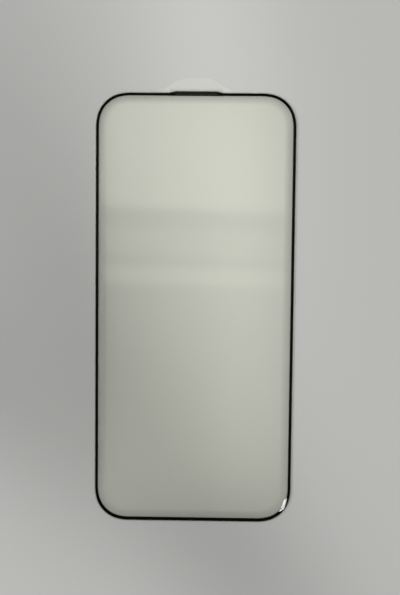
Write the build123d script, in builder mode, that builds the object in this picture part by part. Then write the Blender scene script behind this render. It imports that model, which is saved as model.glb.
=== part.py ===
from build123d import *
from math import cos, radians, sin
import os

os.makedirs("parts", exist_ok=True)

# Phone screen protector, lying face up as it comes out of its pack, in millimetres.
# +Z is up, +Y is the earpiece end, and the origin is on the lower face under the middle of the glass.

# Glass, with a curved edge that falls from the face to a thin rim
glass_width = 68.1
glass_length = 147.0
glass_thickness = 0.4
edge_width = 4.2
edge_drop = 0.28
foot_chamfer = 0.05

# Corners of the glass: a tight arc between two wider lead-in arcs
corner_radius = 10.25
lead_radius = 16.1
lead_angle = 14.0

# Black border printed on the back of the glass
clear_rim = 0.2
side_border = 0.98
earpiece_border = 0.91
foot_border = 1.17
print_thickness = 0.03

# Earpiece notch in the end of the glass
notch_width = 14.4
notch_depth = 0.8
notch_round = 0.35

# Dust net bonded behind the notch
net_length = 17.6
net_crest = 13.8
net_shoulder = 0.45
net_overhang = 0.4
net_thickness = 0.08
net_selvedge = 0.3
gap_pitch = 0.325
gap_size = 0.19

# Clear glue behind the glass, with a pocket for the net
adhesive_thickness = 0.15
pocket_clearance = 0.1

# Peel-off film and its flared pull tab
liner_thickness = 0.1
liner_margin = 0.35
tab_reach = 4.6
tab_crest = 10.2
tab_foot = 25.2
tab_round = 9.0
tab_flare = 5.0

# Heights in the stack, from the film up
adhesive_base = liner_thickness
print_base = adhesive_base + adhesive_thickness
glass_base = print_base + print_thickness
glass_top = glass_base + glass_thickness
net_base = print_base - net_thickness

# Places along the earpiece end
glass_end = glass_length / 2
notch_floor = glass_end - notch_depth
window_end = glass_end - clear_rim - earpiece_border
net_end = glass_end + net_overhang
liner_end = glass_end + liner_margin
tab_end = liner_end + tab_reach


def draw_outline(inset, foot_trim=0.0, earpiece_trim=0.0):
    # Closed outline parallel to the glass rim at the given inset, with its two ends trimmed further if asked.
    angle = radians(lead_angle)
    tip = corner_radius - inset
    lead = lead_radius - inset
    reach = lead * (1 + sin(angle) - cos(angle)) + tip * (cos(angle) - sin(angle))
    half_width = glass_width / 2 - inset
    foot = -glass_end + inset + foot_trim
    length = 2 * (glass_end - inset) - foot_trim - earpiece_trim
    start = Vector(half_width, foot + reach)
    heading = Vector(0, 1)
    for straight in (length - 2 * reach, 2 * (half_width - reach)) * 2:
        side = Line(start, start + heading * straight)
        lead_in = JernArc(side @ 1, side % 1, lead, lead_angle)
        turn = JernArc(lead_in @ 1, lead_in % 1, tip, 90 - 2 * lead_angle)
        lead_out = JernArc(turn @ 1, turn % 1, lead, lead_angle)
        start = lead_out @ 1
        heading = lead_out % 1


def outline_face(inset, mode=Mode.ADD):
    # The outline at an inset, filled.
    with BuildLine() as outline:
        draw_outline(inset)
    make_face(outline.edges(), mode=mode)


def window_face(mode=Mode.ADD):
    # The clear window inside the black border, which is widest at the foot.
    with BuildLine() as outline:
        draw_outline(clear_rim + side_border, foot_border - side_border, earpiece_border - side_border)
    make_face(outline.edges(), mode=mode)


def notch_face(mode):
    # The earpiece notch, centred on the end of the glass so that it stays open there.
    with Locations((0, glass_end)):
        RectangleRounded(notch_width, 2 * notch_depth, notch_round, mode=mode)


def net_face(clearance=0.0, mode=Mode.ADD):
    # The dust net: a straight foot under the border and sloped shoulders up to its crest.
    foot = net_length / 2 + clearance
    crest = net_crest / 2 + clearance
    low = window_end - clearance
    high = net_end + clearance
    with BuildLine() as outline:
        Polyline(
            (-foot, low),
            (foot, low),
            (foot, high - net_shoulder),
            (crest, high),
            (-crest, high),
            (-foot, high - net_shoulder),
            close=True,
        )
    make_face(outline.edges(), mode=mode)


# Glass pane: a flat core inside a swept curved edge, notched at the earpiece
with BuildPart() as glass_pane:
    with BuildSketch(Plane.XY.offset(glass_base)):
        outline_face(edge_width)
    extrude(amount=glass_thickness)
    with BuildLine() as rim:
        draw_outline(0)
    rim_path = rim.wires()[0]
    with BuildSketch(Plane(rim_path @ 0, x_dir=(-1, 0, 0), z_dir=rim_path % 0)):
        with BuildLine():
            crown = TangentArc((edge_width, glass_top), (0, glass_top - edge_drop), tangent=(-1, 0))
            Polyline(
                crown @ 1,
                (0, glass_base + foot_chamfer),
                (foot_chamfer, glass_base),
                (edge_width, glass_base),
                crown @ 0,
            )
        make_face()
    sweep(path=rim_path)
    with BuildSketch(Plane.XY.offset(glass_base)):
        notch_face(Mode.ADD)
    extrude(amount=glass_thickness, mode=Mode.SUBTRACT)
glass_pane.part.label = "glass_pane"
export_step(glass_pane.part, "parts/glass_pane.step")

# Black border: a thin ring of ink, narrowed behind the notch
with BuildPart() as border_print:
    with BuildSketch(Plane.XY.offset(print_base)):
        outline_face(clear_rim)
        window_face(Mode.SUBTRACT)
        notch_face(Mode.SUBTRACT)
    extrude(amount=print_thickness)
border_print.part.label = "border_print"
export_step(border_print.part, "parts/border_print.step")

# Dust net, with as many square gaps as fit in the notch
gap_columns = int((net_crest - 2 * net_selvedge) / gap_pitch)
gap_rows = int((net_end - notch_floor) / gap_pitch)
with BuildPart() as earpiece_mesh:
    with BuildSketch(Plane.XY.offset(net_base)):
        net_face()
        with Locations((0, (net_end + notch_floor) / 2)):
            with GridLocations(gap_pitch, gap_pitch, gap_columns, gap_rows):
                Rectangle(gap_size, gap_size, mode=Mode.SUBTRACT)
    extrude(amount=net_thickness)
earpiece_mesh.part.label = "earpiece_mesh"
export_step(earpiece_mesh.part, "parts/earpiece_mesh.step")

# Glue: a full sheet under the border, and a thin rise that fills the clear window up to the glass
with BuildPart() as adhesive_layer:
    with BuildSketch(Plane.XY.offset(adhesive_base)):
        outline_face(clear_rim)
        net_face(pocket_clearance, Mode.SUBTRACT)
    extrude(amount=adhesive_thickness)
    with BuildSketch(Plane.XY.offset(print_base)):
        window_face()
        net_face(pocket_clearance, Mode.SUBTRACT)
    extrude(amount=print_thickness)
adhesive_layer.part.label = "adhesive_layer"
export_step(adhesive_layer.part, "parts/adhesive_layer.step")

# Peel-off film, a little larger than the glass, with its pull tab past the earpiece end
with BuildPart() as release_liner:
    with BuildSketch() as liner_sheet:
        outline_face(-liner_margin)
        with BuildLine():
            Polyline(
                (-tab_foot / 2, liner_end),
                (tab_foot / 2, liner_end),
                (tab_crest / 2, tab_end),
                (-tab_crest / 2, tab_end),
                close=True,
            )
        make_face()
        crest_corners = liner_sheet.vertices().group_by(Axis.Y)[-1]
        foot_corners = liner_sheet.vertices().group_by(Axis.Y)[-2].sort_by(lambda corner: abs(corner.X))[:2]
        fillet(crest_corners, tab_round)
        fillet(foot_corners, tab_flare)
    extrude(amount=liner_thickness)
release_liner.part.label = "release_liner"
export_step(release_liner.part, "parts/release_liner.step")
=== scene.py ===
from math import cos, radians, sin

import bpy
import numpy as np
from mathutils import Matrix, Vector


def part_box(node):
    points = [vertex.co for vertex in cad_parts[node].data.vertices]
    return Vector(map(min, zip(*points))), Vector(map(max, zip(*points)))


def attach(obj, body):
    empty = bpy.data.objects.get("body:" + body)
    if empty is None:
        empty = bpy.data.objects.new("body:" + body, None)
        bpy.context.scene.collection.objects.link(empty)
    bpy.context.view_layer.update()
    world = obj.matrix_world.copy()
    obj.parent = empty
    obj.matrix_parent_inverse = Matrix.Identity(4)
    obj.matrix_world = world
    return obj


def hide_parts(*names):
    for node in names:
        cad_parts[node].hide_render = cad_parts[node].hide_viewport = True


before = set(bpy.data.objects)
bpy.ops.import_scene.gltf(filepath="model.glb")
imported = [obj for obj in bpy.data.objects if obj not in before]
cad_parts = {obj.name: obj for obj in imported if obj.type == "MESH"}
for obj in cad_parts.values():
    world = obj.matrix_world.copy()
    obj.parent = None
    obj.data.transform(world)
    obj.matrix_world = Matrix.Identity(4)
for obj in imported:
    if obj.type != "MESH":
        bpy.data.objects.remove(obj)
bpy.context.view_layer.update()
mm = 0.001
print("frame loaded:", ", ".join(sorted(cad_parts)))


class Wire:
    # A socket that takes part in sums: each operator adds a Math node, and node() adds any other kind.
    def __init__(self, tree, socket=None):
        self.tree = tree
        self.socket = socket

    def node(self, kind, settings=None, sockets=None, out=0):
        made = self.tree.nodes.new("ShaderNode" + kind)
        for key, value in (settings or {}).items():
            setattr(made, key, value)
        for key, value in (sockets or {}).items():
            if isinstance(value, Wire):
                self.tree.links.new(value.socket, made.inputs[key])
            else:
                made.inputs[key].default_value = value
        return Wire(self.tree, made.outputs[out]) if made.outputs else None

    def math(self, operation, first, second=0.0):
        return self.node("Math", {"operation": operation}, {0: first, 1: second})

    def __add__(self, other):
        return self.math("ADD", self, other)

    def __radd__(self, other):
        return self.math("ADD", other, self)

    def __sub__(self, other):
        return self.math("SUBTRACT", self, other)

    def __rsub__(self, other):
        return self.math("SUBTRACT", other, self)

    def __mul__(self, other):
        return self.math("MULTIPLY", self, other)

    def __rmul__(self, other):
        return self.math("MULTIPLY", other, self)

    def __truediv__(self, other):
        return self.math("DIVIDE", self, other)

    def __pow__(self, other):
        return self.math("POWER", self, other)

    def size(self):  # without its sign
        return self.math("ABSOLUTE", self)

    def rise(self):  # 0 well below zero, 1 well above it
        return 0.5 + 0.5 * self.math("TANH", self)

    def step(self, edge, soft):  # rises from 0 to 1 about the edge, over a few times the width soft
        return ((self - edge) / soft).rise()

    def bell(self):  # 1 at zero, falling to nothing by 2
        return self.math("EXPONENT", 0.0 - self * self)

    def axis(self, letter):
        return self.node("SeparateXYZ", {}, {0: self}, letter)

    def noise(self, scale, detail=2.0, roughness=0.5):  # of this wire's place; it averages a half
        sockets = {"Vector": self, "Scale": scale, "Detail": detail, "Roughness": roughness}
        return self.node("TexNoise", {}, sockets, "Fac")

    def bump(self, strength=1.0):  # a normal tipped by this height in metres
        sockets = {"Strength": strength, "Distance": 1.0, "Height": self}
        return self.node("Bump", {}, sockets, "Normal")

    def mirrored(self, headOn):  # share mirrored off this normal: headOn, and all of it at a grazing view
        facing = self.node("LayerWeight", {}, {"Blend": 0.5, "Normal": self}, "Facing")
        return headOn + (1 - headOn) * facing ** 5.0

    def clear(self, tint=(1, 1, 1, 1)):
        return self.node("BsdfTransparent", {}, {"Color": tint})

    def chalk(self, colour):
        return self.node("BsdfDiffuse", {}, {"Color": colour})

    def mix(self, first, second):  # this wire is the share of the second shader
        return self.node("MixShader", {}, {0: self, 1: first, 2: second})

    def show(self):  # this shader is what the surface shows
        self.node("OutputMaterial", {}, {"Surface": self})


def startLook(name):
    # A new material, the wire that starts its tree, and the place on the object.
    look = bpy.data.materials.new(name)
    look.use_nodes = True
    look.node_tree.nodes.clear()
    start = Wire(look.node_tree)
    return look, start, start.node("TexCoord", out="Object")


def skin(name, rings, looks, strips=None, ring=False, sharp=35):
    # Rings of points, one after another, joined by quads. rings is runs x rings x points x 3.
    # A run's first and last ring are closed by fans to their middles, or joined together if ring is set.
    # strips gives the material of each band between two rings; sharp is the angle of a hard edge in degrees.
    runs, count, around, _ = rings.shape
    index = np.arange(runs * count * around).reshape(runs, count, around)
    near = index if ring else index[:, :-1]
    far = np.roll(index, -1, 1) if ring else index[:, 1:]
    quads = np.stack([near, far, np.roll(far, -1, 2), np.roll(near, -1, 2)], -1).reshape(-1, 4)
    points = rings.reshape(-1, 3)
    faces = quads.tolist()
    bands = np.zeros(near.shape[1], int) if strips is None else np.array(strips)
    slots = np.broadcast_to(bands[None, :, None], near.shape).reshape(-1)
    if not ring:
        poles = np.stack([rings[:, 0].mean(1), rings[:, -1].mean(1)], 1)
        pole = len(points) + np.arange(2 * runs).reshape(runs, 2, 1) + np.zeros(around, int)
        first, last = index[:, 0], index[:, -1]
        fans = [[pole[:, 0], first, np.roll(first, -1, 1)], [pole[:, 1], np.roll(last, -1, 1), last]]
        faces += np.stack([np.stack(fan, -1) for fan in fans], 1).reshape(-1, 3).tolist()
        ends = np.array([bands[0], bands[-1]])
        slots = np.concatenate([slots, np.broadcast_to(ends[None, :, None], (runs, 2, around)).reshape(-1)])
        points = np.concatenate([points, poles.reshape(-1, 3)])
    mesh = bpy.data.meshes.new(name)
    mesh.from_pydata(points.tolist(), [], faces)
    for look in looks:
        mesh.materials.append(look)
    mesh.polygons.foreach_set("material_index", slots.astype(np.int32))
    mesh.polygons.foreach_set("use_smooth", np.ones(len(faces), bool))
    mesh.set_sharp_from_angle(angle=radians(sharp))
    mesh.update()
    piece = bpy.data.objects.new(name, mesh)
    bpy.context.scene.collection.objects.link(piece)
    return piece


def settle(piece, node):
    # The piece takes the CAD node's place on the one body and keeps its finish.
    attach(piece, "root")
    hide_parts(node)
    print(piece.name, "made,", len(piece.data.polygons), "faces")


# Outline that the glass, its border, the glue and the film share
rim = {"cornerRadius": 10.25 * mm, "leadRadius": 16.1 * mm, "leadAngle": radians(14),
       "turnSteps": 7, "sideSteps": 24, "endSteps": 9,
       "faceRings": (0.4, 0.75, 0.94, 1), "backRings": (1, 0.75, 0.4)}
glassLow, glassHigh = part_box("glass_pane")
halfWidth, halfLength = glassHigh.x, glassHigh.y


def cornerRun():
    # A quarter turn from the side to the end: lead-in arc, tight arc, lead-out arc.
    # Each step adds its radius times the change in the cosine and sine of the heading.
    lead, steps = rim["leadAngle"], rim["turnSteps"]
    gentle = np.linspace(0, lead, steps, endpoint=False)
    tight = np.linspace(lead, np.pi / 2 - lead, 3 * steps)
    turn = np.concatenate([gentle, tight, np.pi / 2 - gentle[::-1]])
    middle = (turn[1:] + turn[:-1]) / 2
    radius = np.where(np.abs(middle - np.pi / 4) < np.pi / 4 - lead, rim["cornerRadius"], rim["leadRadius"])
    heading = np.stack([np.cos(turn), np.sin(turn)], 1)
    run = np.concatenate([np.zeros((1, 2)), np.cumsum(radius[:, None] * np.diff(heading, axis=0), 0)])
    return run, heading


def halfRim(endX):
    # Right half of the rim with its outward headings, from the middle of the foot to the middle of the
    # earpiece end. endX are the places across the earpiece end, from the corner to the middle.
    run, heading = cornerRun()
    reach = run[-1, 1]
    corner = run + [halfWidth, halfLength - reach]
    flip = np.array([1, -1])
    footX = np.linspace(0, halfWidth - reach, rim["endSteps"])[:-1]
    sideY = np.linspace(reach - halfLength, halfLength - reach, rim["sideSteps"])[1:-1]
    foot = np.stack([footX, np.full(len(footX), -halfLength)], 1)
    side = np.stack([np.full(len(sideY), halfWidth), sideY], 1)
    end = np.stack([endX, np.full(len(endX), halfLength)], 1)
    points = np.concatenate([foot, corner[::-1] * flip, side, corner, end])
    out = [np.tile([0, -1], (len(foot), 1)), heading[::-1] * flip, np.tile([1, 0], (len(side), 1)), heading]
    return points, np.concatenate(out + [np.tile([0, 1], (len(end), 1))])


def wholeRing(half, z):
    # A half outline and its mirror image as one closed ring at height z.
    plan = np.concatenate([half, half[-2:0:-1] * [-1, 1]])
    height = np.broadcast_to(z, len(half))
    return np.column_stack([plan, np.concatenate([height, height[-2:0:-1]])])


cornerEnd = halfWidth - cornerRun()[0][-1, 1]

# Earpiece notch: wall, rounded corner and floor
notch = {"width": 14.4 * mm, "depth": 0.8 * mm, "round": 0.35 * mm, "lead": 0.5 * mm,
         "wallSteps": 4, "turnSteps": 5, "floorSteps": 14}


def notchRun(start):
    # Down the notch's wall from the depth start, round its corner and along its floor to the middle.
    # Gives the edge's place across, its depth below the end, and where the columns behind it stand.
    half, bend, deep = notch["width"] / 2, notch["round"], notch["depth"]
    walls, turns, floors = notch["wallSteps"], notch["turnSteps"], notch["floorSteps"]
    wall = np.linspace(start, deep - bend, walls)
    turn = np.linspace(0, np.pi / 2, turns + 1)[1:]
    floor = np.linspace(half - bend, 0, floors + 1)[1:]
    across = np.concatenate([np.full(walls, half), half - bend + bend * np.cos(turn), floor])
    depth = np.concatenate([wall, deep - bend + bend * np.sin(turn), np.full(floors, deep)])
    behind = np.concatenate([np.linspace(half + notch["lead"], half - bend, walls + turns), floor])
    return across, depth, behind


endStraight = np.linspace(cornerEnd, notch["width"] / 2 + 2 * notch["lead"], rim["endSteps"])[1:]

# Tempered glass: clear and faintly green, with a mirror finish that smears and swells slightly
glass = {"edgeWidth": 4.2 * mm, "edgeDrop": 0.28 * mm, "footChamfer": 0.05 * mm, "wallFoot": 0.004 * mm,
         "guard": 0.15 * mm, "arcSteps": 12, "lift": 0.001 * mm, "sharp": 25,
         "reflect": 0.1, "tint": (0.938, 0.944, 0.903, 1), "gloss": 0.02,
         "swell": 4e-6, "swellScale": 38.0,
         "smear": 0.015, "smearScale": 26.0, "smearFrom": 0.52, "smearSoft": 1 / 14,
         "backHaze": 0.0004, "milk": (0.8, 0.8, 0.77, 1), "cloudScale": 120.0,
         "rimTint": (0.3, 0.31, 0.29, 1), "grit": (0.42, 0.44, 0.41, 1),
         "gritLeast": 0.35, "gritSpread": 0.3, "gritScale": 2500.0}


def lookGlassFace(values):
    look, start, place = startLook("glassFace")
    normal = (place.noise(values["swellScale"], 1.0) * values["swell"]).bump()
    smear = place.noise(values["smearScale"], 3.0, 0.6).step(values["smearFrom"], values["smearSoft"])
    gloss = values["gloss"] + values["smear"] * smear
    finish = {"Color": (1, 1, 1, 1), "Roughness": gloss, "Normal": normal}
    shine = start.node("BsdfAnisotropic", {}, finish)
    normal.mirrored(values["reflect"]).mix(start.clear(values["tint"]), shine).show()
    return look


def lookBonded(name, haze):
    # A face wetted by glue: it neither shines nor shows, apart from a trace of cloud.
    look, start, place = startLook(name)
    cloud = haze * (0.5 + place.noise(glass["cloudScale"], 3.0))
    cloud.mix(start.clear(), start.chalk(glass["milk"])).show()
    return look


def lookGroundRim(values):
    # The rim is ground, so it scatters light and lets little through.
    look, start, place = startLook("glassRim")
    rough = values["gritLeast"] + values["gritSpread"] * place.noise(values["gritScale"])
    rough.mix(start.clear(values["rimTint"]), start.chalk(values["grit"])).show()
    return look


def makeGlass():
    # Rings out over the flat face, down the curved edge, round the rim and back under to the middle.
    # The edge is an arc tangent to the face: at s from the rim it drops R - sqrt(R^2 - (width - s)^2).
    # At the notch a ring's end follows the notch's outline instead of the rim.
    across, depth, behind = notchRun(0.0)
    edge, out = halfRim(np.concatenate([endStraight, across]))
    dip = np.zeros(len(edge))
    dip[-len(across):] = depth
    edge[-len(across):, 1] -= depth
    width, drop = glass["edgeWidth"], glass["edgeDrop"]
    radius = (width ** 2 + drop ** 2) / (2 * drop)
    inner = halfRim(np.concatenate([endStraight, behind]))[0] - width * out
    core = inner - glass["guard"] * out
    top, base = glassHigh.z, glassLow.z + glass["lift"]
    face = [wholeRing(core * share, top) for share in rim["faceRings"]]
    for share in np.linspace(1, 0, glass["arcSteps"] + 1):
        inset = dip + share * (width - dip)
        fall = radius - np.sqrt(radius ** 2 - (width - inset) ** 2)
        face.append(wholeRing(edge + share * (inner - edge), top - fall))
    bevel = np.where(dip > 0, 0, glass["footChamfer"])
    foot = [wholeRing(edge, base + bevel + glass["wallFoot"]), wholeRing(edge - bevel[:, None] * out, base)]
    back = [wholeRing(core * share, base) for share in rim["backRings"]]
    strips = [0] * (len(face) - 1) + [2] * len(foot) + [1] * len(back)
    looks = [lookGlassFace(glass), lookBonded("glassBack", glass["backHaze"]), lookGroundRim(glass)]
    return skin("glassPane", np.array(face + foot + back)[None], looks, strips, sharp=glass["sharp"])


glassPane = makeGlass()
settle(glassPane, "glass_pane")

# Black border, screen printed behind the glass
ink = {"clearRim": 0.2 * mm, "side": 0.98 * mm, "earpiece": 0.91 * mm, "foot": 1.17 * mm, "lift": 0.004 * mm,
       "colour": (0.0014, 0.0014, 0.0012, 1), "gloss": 0.42, "glossSpread": 0.12, "glossScale": 300.0,
       "specular": 0.02, "grain": 1e-6, "grainScale": 9000.0, "grainStrength": 0.3}


def lookInk(values):
    look, start, place = startLook("borderInk")
    normal = (place.noise(values["grainScale"]) * values["grain"]).bump(values["grainStrength"])
    gloss = values["gloss"] + values["glossSpread"] * place.noise(values["glossScale"])
    finish = {"Base Color": values["colour"], "Roughness": gloss,
              "Specular IOR Level": values["specular"], "Normal": normal}
    start.node("BsdfPrincipled", {}, finish).show()
    return look


def makeInk():
    # A flat band. Its outer edge is parallel to the rim, and its inner edge is moved along at both ends,
    # so that the bars there get their own widths.
    across, depth, behind = notchRun(ink["clearRim"])
    low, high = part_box("border_print")
    rimLine, out = halfRim(np.concatenate([endStraight, across]))
    outer = rimLine - ink["clearRim"] * out
    outer[-len(across):, 1] = halfLength - depth
    window = halfRim(np.concatenate([endStraight, behind]))[0] - (ink["clearRim"] + ink["side"]) * out
    window[:, 1] += np.where(window[:, 1] > 0, ink["side"] - ink["earpiece"], ink["foot"] - ink["side"])
    top, base = high.z - ink["lift"], low.z + ink["lift"] / 2
    rings = [wholeRing(window, base), wholeRing(window, top), wholeRing(outer, top), wholeRing(outer, base)]
    return skin("borderInk", np.array(rings)[None], [lookInk(ink)], ring=True)


borderInk = makeInk()
settle(borderInk, "border_print")

# Dust net: flat black filaments in a plain weave behind the notch
net = {"pitch": 0.2 * mm, "width": 0.165 * mm, "thick": 0.034 * mm, "wave": 0.0195 * mm,
       "shoulder": 0.45 * mm, "crest": 13.8 * mm, "perPitch": 6, "around": 8,
       "colour": (0.0088, 0.0088, 0.0058, 1), "gloss": 0.5, "glossSpread": 0.2, "specular": 0.15,
       "streak": 4e-6, "streakScale": 5200.0, "streakStrength": 0.6}


def lookNet(values):
    look, start, place = startLook("netNylon")
    streak = place.noise(values["streakScale"])
    normal = (streak * values["streak"]).bump(values["streakStrength"])
    finish = {"Base Color": values["colour"], "Roughness": values["gloss"] + values["glossSpread"] * streak,
              "Specular IOR Level": values["specular"], "Normal": normal}
    start.node("BsdfPrincipled", {}, finish).show()
    return look


def weave(along, start, sense):
    # Height of each filament: the wave's depth times the cosine of pi x place / pitch.
    # Neighbours have opposite signs, and sense is the sign of the first.
    sign = sense * (-1.0) ** np.arange(len(along))
    return net["wave"] * np.cos(np.pi * (along - start) / net["pitch"]) * sign[:, None]


def makeNet():
    # Two sets of filaments, each an ellipse carried along a line that waves over and under the other set.
    low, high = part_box("earpiece_mesh")
    pitch, half, crest = net["pitch"], high.x, net["crest"] / 2
    turn = np.linspace(0, 2 * np.pi, net["around"], endpoint=False)
    flat, thin = net["width"] / 2 * np.cos(turn), net["thick"] / 2 * np.sin(turn)
    middle = (low.z + high.z) / 2
    warp = (np.arange(int(2 * half / pitch)) - (int(2 * half / pitch) - 1) / 2) * pitch
    weft = low.y + net["width"] / 2 + np.arange(int((high.y - low.y - net["width"]) / pitch) + 1) * pitch
    slope = net["shoulder"] / (half - crest)
    look = lookNet(net)
    ends = high.y - slope * np.maximum(np.abs(warp) - crest, 0)  # of the warp, along its sloped shoulders
    steps = np.linspace(0, 1, int((high.y - low.y) / pitch * net["perPitch"]))
    along = low.y + steps[None, :] * (ends - low.y)[:, None]
    x = np.broadcast_to(warp[:, None, None] + flat, along.shape + flat.shape)
    y = np.broadcast_to(along[:, :, None], x.shape)
    z = middle + weave(along, weft[0], 1)[:, :, None] + thin
    upright = skin("netWarp", np.stack([x, y, z], -1), [look])
    reach = half - np.maximum(weft + net["width"] / 2 - (high.y - net["shoulder"]), 0) / slope  # of the weft
    steps = np.linspace(-1, 1, int(2 * half / pitch * net["perPitch"]))
    along = steps[None, :] * reach[:, None]
    y = np.broadcast_to(weft[:, None, None] - flat, along.shape + flat.shape)
    x = np.broadcast_to(along[:, :, None], y.shape)
    z = middle + weave(along, warp[0], -1)[:, :, None] + thin
    level = skin("netWeft", np.stack([x, y, z], -1), [look])
    return upright, level


netWarp, netWeft = makeNet()
settle(netWarp, "earpiece_mesh")
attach(netWeft, "root")
print(netWeft.name, "made,", len(netWeft.data.polygons), "faces")

# Clear glue: it keeps its CAD shape
glue = {"haze": 0.002, "cloudScale": 120.0, "dull": 0.85, "steep": 0.25, "steepSoft": 0.05}


def lookGlue(values):
    # Clear through its faces and dull on its cut edge, where the face points sideways.
    look, start, place = startLook("clearGlue")
    upright = start.node("TexCoord", out="Normal").axis("Z")
    wall = 1 - (upright * upright).step(values["steep"], values["steepSoft"])
    cloud = values["haze"] * (0.5 + place.noise(values["cloudScale"], 3.0)) + wall * values["dull"]
    cloud.mix(start.clear(), start.chalk(glass["grit"])).show()
    return look


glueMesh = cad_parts["adhesive_layer"].data
glueMesh.materials.clear()
glueMesh.materials.append(lookGlue(glue))
print("glue dressed")

# Peel-off film with its flared tab
film = {"margin": 0.35 * mm, "bond": 0.2 * mm, "bend": 0.02 * mm, "lift": 0.002 * mm, "sharp": 30,
        "crest": 10.2 * mm, "foot": 25.2 * mm, "round": 9.0 * mm, "flare": 5.0 * mm,
        "arcSteps": 12, "crestSteps": 7, "tabGap": 1 * mm,
        "reflect": 0.088, "tint": (0.995, 0.996, 0.992, 1), "gloss": 0.12,
        "swell": 2e-5, "swellScale": 60.0, "bondHaze": 0.002,
        "milk": 0.13, "milkColour": (0.93, 0.93, 0.9, 1), "cloudScale": 400.0,
        "paintedShade": 0.21, "shadeReach": 0.6 * mm, "shadeEnd": 0.2 * mm, "shadeColour": (0.03, 0.03, 0.025, 1)}


def lookFilm(values):
    # Slightly milky, with painted shade: a grey band along the edge of the net, standing in for the shade it
    # casts on the film.
    look, start, place = startLook("filmOpen")
    normal = (place.noise(values["swellScale"]) * values["swell"]).bump()
    cloud = values["milk"] * (0.75 + 0.5 * place.noise(values["cloudScale"], 3.0))
    body = cloud.mix(start.clear(values["tint"]), start.chalk(values["milkColour"]))
    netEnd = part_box("earpiece_mesh")[1]
    past = (place.axis("Y") - netEnd.y) / values["shadeReach"]
    beside = (netEnd.x - place.axis("X").size()) / values["shadeEnd"]
    # Painted shade: a grey band just past the net's edge, fading over its reach and towards the net's ends
    line = values["paintedShade"] * past.bell() * beside.rise()
    body = line.mix(body, start.chalk(values["shadeColour"]))
    shine = start.node("BsdfAnisotropic", {}, {"Roughness": values["gloss"], "Normal": normal})
    normal.mirrored(values["reflect"]).mix(body, shine).show()
    return look


def tabRun(low, high):
    # From the film's end up the tab and to its middle: hollow flare, straight slope, rounded shoulder, crest.
    # Both arcs are tangent to their neighbours, so they start radius x tan(slope / 2) from the corner.
    foot, crest, steps = film["foot"] / 2, film["crest"] / 2, film["crestSteps"]
    slope = np.arctan2(high - low, foot - crest)
    turn = np.linspace(0, slope, film["arcSteps"])
    flareX = foot + film["flare"] * (np.tan(slope / 2) - np.sin(turn))
    flareY = low + film["flare"] * (1 - np.cos(turn))
    back = turn[::-1]
    crestX = crest - film["round"] * (np.tan(slope / 2) - np.sin(back))
    crestY = high - film["round"] * (1 - np.cos(back))
    flatX = np.linspace(crestX[-1], 0, steps + 1)[1:]
    return np.concatenate([flareX, crestX, flatX]), np.concatenate([flareY, crestY, np.full(steps, high)])


def makeFilm():
    # Rings out over the upper face, round the edge and back under.
    # The part under the glue and the open edge differ in material.
    low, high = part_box("release_liner")
    tabX, tabY = tabRun(halfLength + film["margin"], high.y)
    endX = np.concatenate([np.linspace(cornerEnd, tabX[0] + film["tabGap"], rim["endSteps"])[1:], tabX])
    line, out = halfRim(endX)
    outer = line + film["margin"] * out
    outer[-len(tabY):, 1] = tabY
    bond = line - film["bond"] * out
    top, base, bend = high.z - film["lift"], low.z, film["bend"]
    face = [wholeRing(bond * share, top) for share in rim["faceRings"]]
    edge = [wholeRing(outer - bend * out, top), wholeRing(outer, top - bend),
            wholeRing(outer, base + bend), wholeRing(outer - bend * out, base)]
    back = [wholeRing(bond * share, base) for share in rim["backRings"]]
    strips = [0] * (len(face) - 1) + [1] * len(edge) + [0] * len(back)
    looks = [lookBonded("filmBonded", film["bondHaze"]), lookFilm(film)]
    return skin("releaseFilm", np.array(face + edge + back)[None], looks, strips, sharp=film["sharp"])


releaseFilm = makeFilm()
settle(releaseFilm, "release_liner")

# Table top: pale and even, with a few broad soft pools of painted light and shade near the middle, fading
# into the backdrop far out
# A painted pool is its gain (above zero for light, below for shade), its middle across and along in mm, its
# width and length in mm, and its turn in degrees
table = {"level": 0.475, "tint": (1.012, 1.008, 0.98), "side": 1.6, "drop": 0.03 * mm, "fade": 650,
         "gloss": 0.9, "speck": 0.02, "speckScale": 900.0,
         "paintedLightAndShade": [(0.085, 5, 90, 26, 78, 10), (-0.1, -62, 48, 36, 95, 16), (-0.125, 10, -78, 30, 95, 34),
                    (-0.1, -85, -17, 27, 72, 42), (-0.02, -37, 20, 13, 45, 0)]}


def lookTable(values):
    look, start, place = startLook("tableTop")
    x, y = place.axis("X") / mm, place.axis("Y") / mm
    speck = values["speck"]
    level = values["level"] * (1 - speck / 2 + speck * place.noise(values["speckScale"], 3.0))
    # Painted light and shade: each pool adds a soft bell of brightness or darkness to the table's colour
    for gain, midX, midY, wide, long, turn in values["paintedLightAndShade"]:
        c, s = cos(radians(turn)), sin(radians(turn))
        across = ((x - midX) * c + (y - midY) * s) / wide
        along = ((y - midY) * c - (x - midX) * s) / long
        level = level + gain * across.bell() * along.bell()
    shares = {name: level * share for name, share in zip(("Red", "Green", "Blue"), values["tint"])}
    colour = start.node("CombineColor", {}, shares)
    finish = {"Base Color": colour, "Roughness": values["gloss"], "Specular IOR Level": 0.0}
    top = start.node("BsdfPrincipled", {}, finish)
    near = ((x * x + y * y) / values["fade"] ** 2).bell()  # fade is in mm
    near.mix(start.clear(), top).show()
    return look


def makeTable():
    corners = np.array([(-1, -1), (1, -1), (1, 1), (-1, 1)]) * table["side"]
    mesh = bpy.data.meshes.new("tableTop")
    mesh.from_pydata([(x, y, -table["drop"]) for x, y in corners], [], [(0, 1, 2, 3)])
    mesh.materials.append(lookTable(table))
    top = bpy.data.objects.new("tableTop", mesh)
    bpy.context.scene.collection.objects.link(top)
    print("table made")


makeTable()

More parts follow.
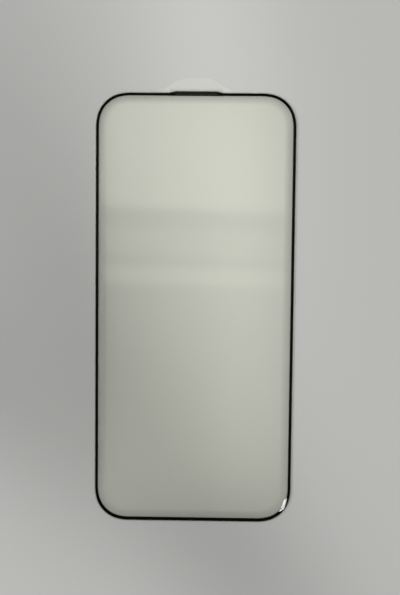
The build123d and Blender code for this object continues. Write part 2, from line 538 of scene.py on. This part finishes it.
# Room: even light for the table and, for mirrors, a bright ceiling over a dim wall with two pale strips
# Places and widths are slopes of a mirrored ray away from straight up, across and along the table
# A strip is its gain and two edges, a patch its gain, middle and sizes, and a side its edge and softness
room = {"ambient": 0.62, "backdrop": 0.75, "tint": (1.0, 1.03, 0.88, 1), "base": 1.21, "lowestRay": 0.05,
        "ceiling": {"gain": 0.74, "edge": 0.074, "tilt": 0.037, "soft": 0.0055},
        "wall": {"gain": 0.24, "edge": -0.1, "soft": 0.08},
        "strips": [(0.25, 0.0075, 0.048), (0.45, -0.033, -0.008)], "stripTilt": 0.026, "stripSoft": 0.0045,
        "patches": [(0.54, 0.056, -0.07, 0.068, 0.33), (-1.0, -0.21, -0.08, 0.1, 0.22),
                    (0.17, -0.125, 0.0, 0.02, 0.3), (3.0, -0.31, 0.125, 0.057, 0.05)],
        "left": (-0.23, 0.08), "right": (0.15, 0.1), "foot": (-0.36, 0.07), "head": (0.3, 0.08),
        "beyond": (0.95, 0.12),
        "windows": {"gain": 0.7, "top": 1.35, "sill": 2.9, "soft": 0.12, "jamb": 0.5, "jambSoft": 0.1}}


def makeRoom(values):
    # A mirrored ray's slopes are its x / z and y / z. Edges are soft steps in those, and patches soft bells.
    # Past the room's sides and ends it is dark. Low down, beyond, it is the plain backdrop with a wide soft
    # window in each of the four directions, between the slopes of its top and its sill.
    world = bpy.data.worlds.new("room")
    world.use_nodes = True
    world.node_tree.nodes.clear()
    bpy.context.scene.world = world
    start = Wire(world.node_tree)
    ray = start.node("TexCoord", out="Generated")
    up = ray.axis("Z")
    up = up.math("MAXIMUM", up, values["lowestRay"])
    across, along = ray.axis("X") / up, ray.axis("Y") / up
    ceiling, wall, soft = values["ceiling"], values["wall"], values["stripSoft"]
    slant = along + values["stripTilt"] * across
    bright = (along + ceiling["tilt"] * across).step(ceiling["edge"], ceiling["soft"])
    level = values["base"] + ceiling["gain"] * bright
    level = level + wall["gain"] * slant.step(wall["edge"], wall["soft"])
    for gain, low, high in values["strips"]:
        level = level + gain * (slant.step(low, soft) - slant.step(high, soft))
    for gain, midA, midB, wide, long in values["patches"]:
        level = level + gain * ((across - midA) / wide).bell() * ((along - midB) / long).bell()
    level = level * across.step(*values["left"]) * (1 - across.step(*values["right"]))
    level = level * along.step(*values["foot"]) * (1 - along.step(*values["head"]))
    window, squareA, squareB = values["windows"], across * across, along * along
    slope = (squareA + squareB) ** 0.5
    pane = ((squareA - squareB) / (slope * slope)).size().step(window["jamb"], window["jambSoft"])
    pane = pane * (slope.step(window["top"], window["soft"]) - slope.step(window["sill"], window["soft"]))
    beyond = slope.step(*values["beyond"])
    mirrored = level + beyond * (values["backdrop"] + window["gain"] * pane - level)
    gloss = start.node("LightPath", out="Is Glossy Ray")
    seen = start.node("LightPath", out="Is Camera Ray")
    plain = values["ambient"] + seen * (values["backdrop"] - values["ambient"])
    strength = plain + gloss * (mirrored - plain)
    tinted = gloss * (1 - beyond)
    hue = start.node("Mix", {"data_type": "RGBA"}, {0: tinted, 6: (1, 1, 1, 1), 7: values["tint"]}, 2)
    light = start.node("Background", {}, {"Color": hue, "Strength": strength})
    start.node("OutputWorld", {}, {"Surface": light})


makeRoom(room)

# Soft key from the left, which mirrors don't see, and a narrow lamp for the glint, which only mirrors see
softKey = {"size": (1.0, 1.0), "power": 74.5,
           "place": (-2.65, -0.1, 2.2), "aim": (0, 0, 0), "mirrored": False}
glint = {"size": (0.053, 0.1085), "power": 0.114,
         "place": (0.239, -0.399, 0.7), "aim": None, "mirrored": True}


def makeLamp(name, values):
    # An area lamp turned to its aim, or straight down without one.
    lamp = bpy.data.lights.new(name, "AREA")
    lamp.shape = "RECTANGLE"
    lamp.size, lamp.size_y = values["size"]
    lamp.energy = values["power"]
    placed = bpy.data.objects.new(name, lamp)
    placed.location = values["place"]
    if values["aim"]:
        placed.rotation_euler = (Vector(values["aim"]) - placed.location).to_track_quat("-Z", "Y").to_euler()
    placed.visible_glossy = values["mirrored"]
    placed.visible_diffuse = not values["mirrored"]
    placed.visible_camera = False
    bpy.context.scene.collection.objects.link(placed)
    return placed


keyLamp = makeLamp("softKey", softKey)
makeLamp("glint", glint)

# The border casts no shadow from the key, because glass and glue bend its light in under the edge
passed = bpy.data.collections.new("passed")
passed.objects.link(borderInk)
passed.collection_objects[0].light_linking.link_state = "EXCLUDE"
keyLamp.light_linking.blocker_collection = passed

# Camera straight above, a little off the middle and tipped: place in mm, tip in degrees
view = {"lens": 42.35, "sensor": 36.0, "place": (5.02, 16.17, 239.23), "tip": (-2.828, 0.775, 0.58)}
camera = bpy.data.objects.new("camera", bpy.data.cameras.new("camera"))
camera.data.lens = view["lens"]
camera.data.sensor_width = view["sensor"]
camera.location = Vector(view["place"]) * mm
camera.rotation_euler = [radians(angle) for angle in view["tip"]]
scene = bpy.context.scene
scene.collection.objects.link(camera)
scene.camera = camera
scene.view_settings.view_transform = "Standard"
scene.cycles.transparent_max_bounces = 32  # a ray crosses the six faces of the clear stack twice
print("room, lamps and camera set")
